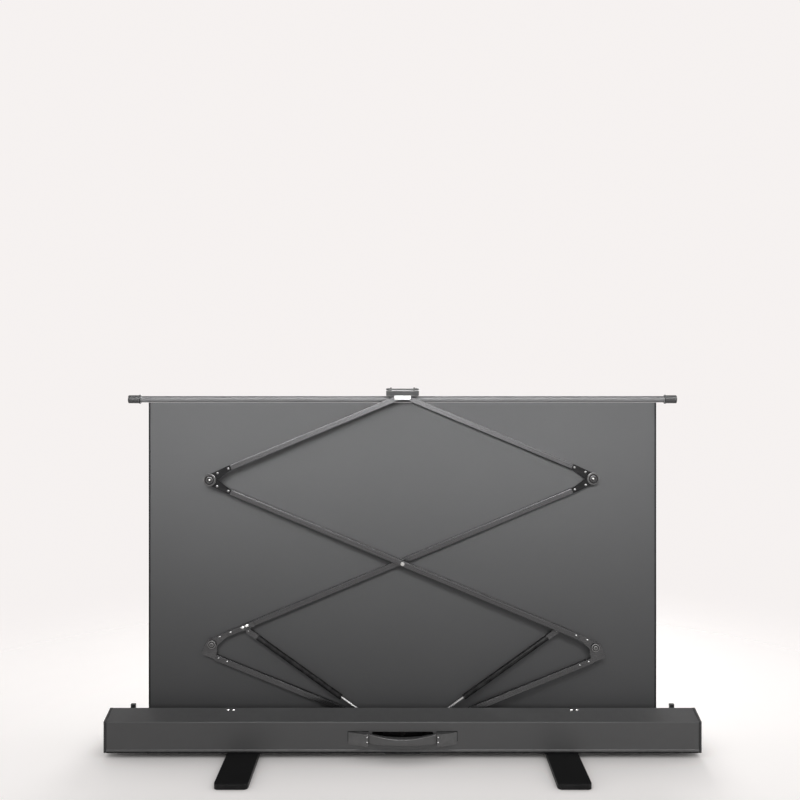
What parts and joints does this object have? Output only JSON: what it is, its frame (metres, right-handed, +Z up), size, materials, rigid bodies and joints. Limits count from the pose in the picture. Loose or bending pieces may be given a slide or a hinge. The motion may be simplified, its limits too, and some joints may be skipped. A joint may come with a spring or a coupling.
{
  "type": "portable projection screen",
  "caption": "Floor-standing pull-up projection screen: a low case on swivel feet, a scissor lift with gas springs, and a fabric that rises under a top bar.",
  "frame": {"origin": "on the floor under the middle of the case", "axes": "+X along the case, +Z up, +Y towards the viewers; the lifting arms are on the -Y side"},
  "size_m": [1.5, 0.45, 0.9262],
  "materials": {
    "case_grey": "satin dark grey",
    "arm_grey": "dark grey anodised",
    "black_metal": "black",
    "black_plastic": "black moulded",
    "black_rubber": "black",
    "bright_steel": "bright",
    "white_plastic": "white moulded",
    "screen_cloth": "dark backed cloth, white front"
  },
  "bodies": {
    "case": {"case_rear_shell": "case_grey", "case_front_shell": "case_grey", "case_bottom": "case_grey", "left_end_cap": "black_plastic", "right_end_cap": "black_plastic", "left_rest_peg": "black_plastic", "right_rest_peg": "black_plastic", "left_handle_plate": "case_grey", "right_handle_plate": "case_grey", "centre_pad": "black_rubber", "left_foot_bolt": "bright_steel", "right_foot_bolt": "bright_steel", "base_bracket": "arm_grey", "base_pin": "bright_steel", "roller_shaft": "bright_steel", "left_roller_bracket": "arm_grey", "right_roller_bracket": "arm_grey", "screen_fabric": "screen_cloth"},
    "left_foot": {"left_foot": "black_plastic"},
    "right_foot": {"right_foot": "black_plastic"},
    "carry_grip": {"carry_grip": "case_grey"},
    "roller": {"roller_tube": "arm_grey", "wound_fabric": "screen_cloth"},
    "top_bar": {"hinge_block": "white_plastic", "top_bracket": "arm_grey", "top_bar": "arm_grey", "left_bar_cap": "black_plastic", "right_bar_cap": "black_plastic", "top_pin": "bright_steel"},
    "pull_bail": {"pull_bail": "bright_steel"},
    "left_spring_cylinder": {"left_spring_cylinder": "black_metal"},
    "left_spring_rod": {"left_spring_rod": "bright_steel"},
    "left_lower_arm": {"left_lower_arm": "arm_grey", "left_lower_elbow_plate": "arm_grey", "left_base_bush": "bright_steel"},
    "left_cross_arm": {"left_cross_arm": "arm_grey", "left_cross_lower_plate": "arm_grey", "left_cross_upper_plate": "black_metal", "left_spring_clamp": "arm_grey", "left_lower_elbow_pin": "bright_steel", "right_upper_elbow_pin": "bright_steel", "left_spring_pin": "bright_steel", "centre_bolt": "bright_steel", "centre_nut": "bright_steel"},
    "right_upper_arm": {"right_upper_arm": "arm_grey", "right_upper_plate": "black_metal"},
    "right_spring_cylinder": {"right_spring_cylinder": "black_metal"},
    "right_spring_rod": {"right_spring_rod": "bright_steel"},
    "right_lower_arm": {"right_lower_arm": "arm_grey", "right_lower_elbow_plate": "arm_grey", "right_base_bush": "bright_steel"},
    "right_cross_arm": {"right_cross_arm": "arm_grey", "right_cross_lower_plate": "arm_grey", "right_cross_upper_plate": "black_metal", "right_spring_clamp": "arm_grey", "right_lower_elbow_pin": "bright_steel", "left_upper_elbow_pin": "bright_steel", "right_spring_pin": "bright_steel"},
    "left_upper_arm": {"left_upper_arm": "arm_grey", "left_upper_plate": "black_metal"}
  },
  "joints": [
    {"name": "lift", "type": "hinge", "parent": "case", "child": "left_lower_arm", "pos_m": [0, 0, 0.042], "axis": [0, 1, 0], "range_deg": [-21.48, 42.5], "deforming": ["screen_fabric"]},
    {"name": "left_lower_elbow", "type": "hinge", "parent": "left_lower_arm", "child": "left_cross_arm", "pos_m": [-0.49613, 0, 0.25772], "axis": [0, 1, 0], "range_deg": [-85.06, 43.03]},
    {"name": "right_upper_elbow", "type": "hinge", "parent": "left_cross_arm", "child": "right_upper_arm", "pos_m": [0.49613, 0, 0.68917], "axis": [0, 1, 0], "range_deg": [-43.03, 85.06]},
    {"name": "left_spring_pivot", "type": "hinge", "parent": "left_cross_arm", "child": "left_spring_cylinder", "pos_m": [-0.39842, 0, 0.29623], "axis": [0, 1, 0], "range_deg": [-50.33, 99.51]},
    {"name": "left_spring_slide", "type": "slide", "parent": "left_spring_cylinder", "child": "left_spring_rod", "axis": [0.8121, 0, -0.5835], "range_m": [-0.08311, 0.16342]},
    {"name": "top_hinge", "type": "hinge", "parent": "right_upper_arm", "child": "top_bar", "pos_m": [0, 0, 0.90489], "axis": [0, 1, 0], "range_deg": [-42.56, 21.54]},
    {"name": "right_base", "type": "hinge", "parent": "case", "child": "right_lower_arm", "pos_m": [0, 0, 0.042], "axis": [0, -1, 0], "range_deg": [-21.54, 42.56]},
    {"name": "right_lower_elbow", "type": "hinge", "parent": "right_lower_arm", "child": "right_cross_arm", "pos_m": [0.49613, 0, 0.25772], "axis": [0, -1, 0], "range_deg": [-85.06, 43.03]},
    {"name": "left_upper_elbow", "type": "hinge", "parent": "right_cross_arm", "child": "left_upper_arm", "pos_m": [-0.49613, 0, 0.68917], "axis": [0, -1, 0], "range_deg": [-43.03, 85.06]},
    {"name": "right_spring_pivot", "type": "hinge", "parent": "right_cross_arm", "child": "right_spring_cylinder", "pos_m": [0.39842, 0, 0.29623], "axis": [0, -1, 0], "range_deg": [-50.33, 99.51]},
    {"name": "right_spring_slide", "type": "slide", "parent": "right_spring_cylinder", "child": "right_spring_rod", "axis": [-0.8121, 0, -0.5835], "range_m": [-0.08311, 0.16342]},
    {"name": "left_foot_swivel", "type": "hinge", "parent": "case", "child": "left_foot", "pos_m": [-0.4, 0, 0], "axis": [0, 0, 1], "range_deg": [-90, 0]},
    {"name": "right_foot_swivel", "type": "hinge", "parent": "case", "child": "right_foot", "pos_m": [0.4, 0, 0], "axis": [0, 0, 1], "range_deg": [0, 90]},
    {"name": "grip_swing", "type": "hinge", "parent": "case", "child": "carry_grip", "pos_m": [0, -0.0768, 0.0575], "axis": [-1, 0, 0], "range_deg": [0, 95]},
    {"name": "bail_swing", "type": "hinge", "parent": "top_bar", "child": "pull_bail", "pos_m": [0, 0.0159, 0.92223], "axis": [-1, 0, 0], "range_deg": [0, 90]},
    {"name": "roller_spin", "type": "hinge", "parent": "case", "child": "roller", "pos_m": [0, 0.0463, 0.05], "axis": [1, 0, 0], "continuous": true}
  ],
  "couplings": [
    {"joint": "left_lower_elbow", "follows": "lift", "ratio": -2},
    {"joint": "right_upper_elbow", "follows": "lift", "ratio": 2},
    {"joint": "left_spring_pivot", "follows": "lift", "ratio": 2.34},
    {"joint": "left_spring_slide", "follows": "lift", "m_per_rad": 0.21897},
    {"joint": "top_hinge", "follows": "lift", "ratio": -1},
    {"joint": "right_base", "follows": "lift", "ratio": 1},
    {"joint": "right_lower_elbow", "follows": "lift", "ratio": -2},
    {"joint": "left_upper_elbow", "follows": "lift", "ratio": 2},
    {"joint": "right_spring_pivot", "follows": "lift", "ratio": 2.34},
    {"joint": "right_spring_slide", "follows": "lift", "m_per_rad": 0.21897}
  ]
}
